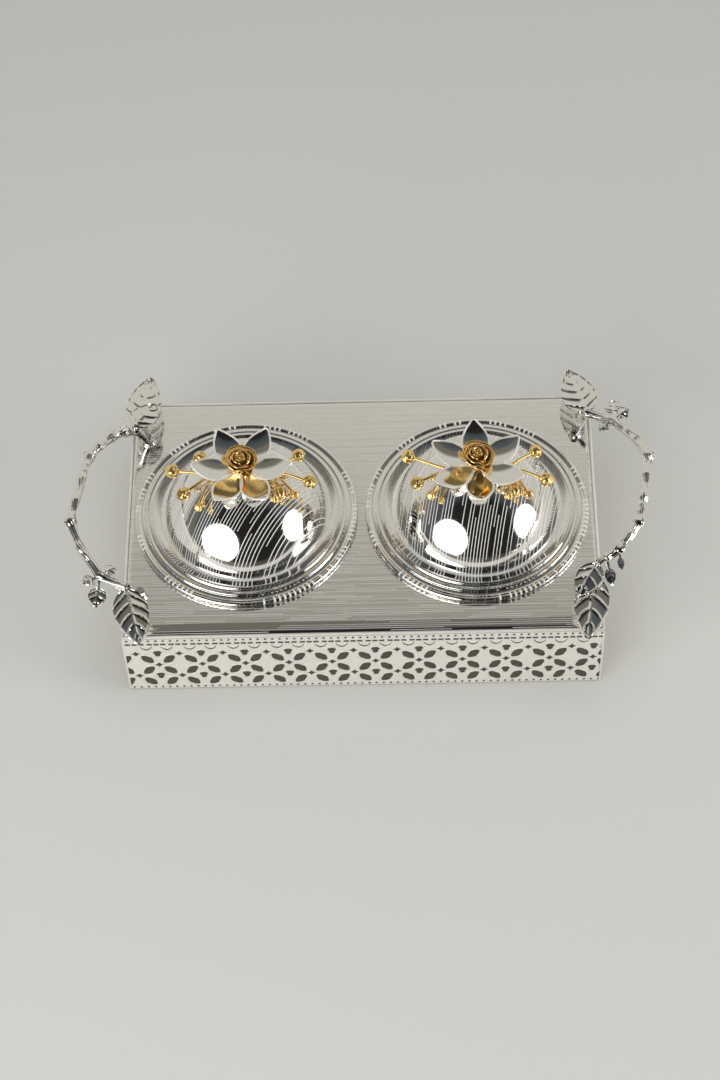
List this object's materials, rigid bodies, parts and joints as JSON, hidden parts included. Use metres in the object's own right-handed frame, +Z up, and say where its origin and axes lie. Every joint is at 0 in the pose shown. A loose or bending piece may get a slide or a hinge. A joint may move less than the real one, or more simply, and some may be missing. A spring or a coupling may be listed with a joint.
{
  "type": "mouth freshener box",
  "caption": "Rectangular pierced gallery box with a flat top plate, two hanging bowls under domed lids with flower knobs, and a cast vine handle at both ends.",
  "frame": {"origin": "centre of the rest face, on the surface the box stands on", "axes": "+X along the box from one handle to the other, +Y to the back, +Z up"},
  "size_m": [0.3378, 0.188, 0.1149],
  "materials": {
    "silver_plate": "mirror plated, partly etched with fine lines",
    "gold_plate": "polished gold plate",
    "dark_board": "matt dark board",
    "felt": "felt",
    "steel": "plain"
  },
  "bodies": {
    "box": {"base_felt": "felt", "base_board": "dark_board", "liner_front": "dark_board", "liner_back": "dark_board", "liner_left": "dark_board", "liner_right": "dark_board", "gallery_front": "silver_plate", "gallery_back": "silver_plate", "gallery_left": "silver_plate", "gallery_right": "silver_plate", "top_plate": "silver_plate", "vine_left": "silver_plate", "leaf_front_left": "silver_plate", "leaf_back_left": "silver_plate", "leaf_small_left": "silver_plate", "sprigs_left": "silver_plate", "vine_right": "silver_plate", "leaf_front_right": "silver_plate", "leaf_back_right": "silver_plate", "leaf_small_right": "silver_plate", "sprigs_right": "silver_plate", "handle_studs": "steel", "handle_nuts": "steel"},
    "bowl_left": {"bowl_left": "silver_plate"},
    "lid_left": {"lid_left": "silver_plate", "petals_left": "silver_plate", "rose_left": "gold_plate", "spray_left_left": "gold_plate", "spray_left_right": "gold_plate", "knob_screw_left": "steel"},
    "bowl_right": {"bowl_right": "silver_plate"},
    "lid_right": {"lid_right": "silver_plate", "petals_right": "silver_plate", "rose_right": "gold_plate", "spray_right_left": "gold_plate", "spray_right_right": "gold_plate", "knob_screw_right": "steel"}
  },
  "joints": [
    {"name": "bowl_left_lift_out", "type": "slide", "parent": "box", "child": "bowl_left", "axis": [0, 0, 1], "range_m": [0, 0.06]},
    {"name": "lid_left_lift_off", "type": "slide", "parent": "bowl_left", "child": "lid_left", "axis": [0, 0, 1], "range_m": [0, 0.07]},
    {"name": "bowl_right_lift_out", "type": "slide", "parent": "box", "child": "bowl_right", "axis": [0, 0, 1], "range_m": [0, 0.06]},
    {"name": "lid_right_lift_off", "type": "slide", "parent": "bowl_right", "child": "lid_right", "axis": [0, 0, 1], "range_m": [0, 0.07]}
  ]
}
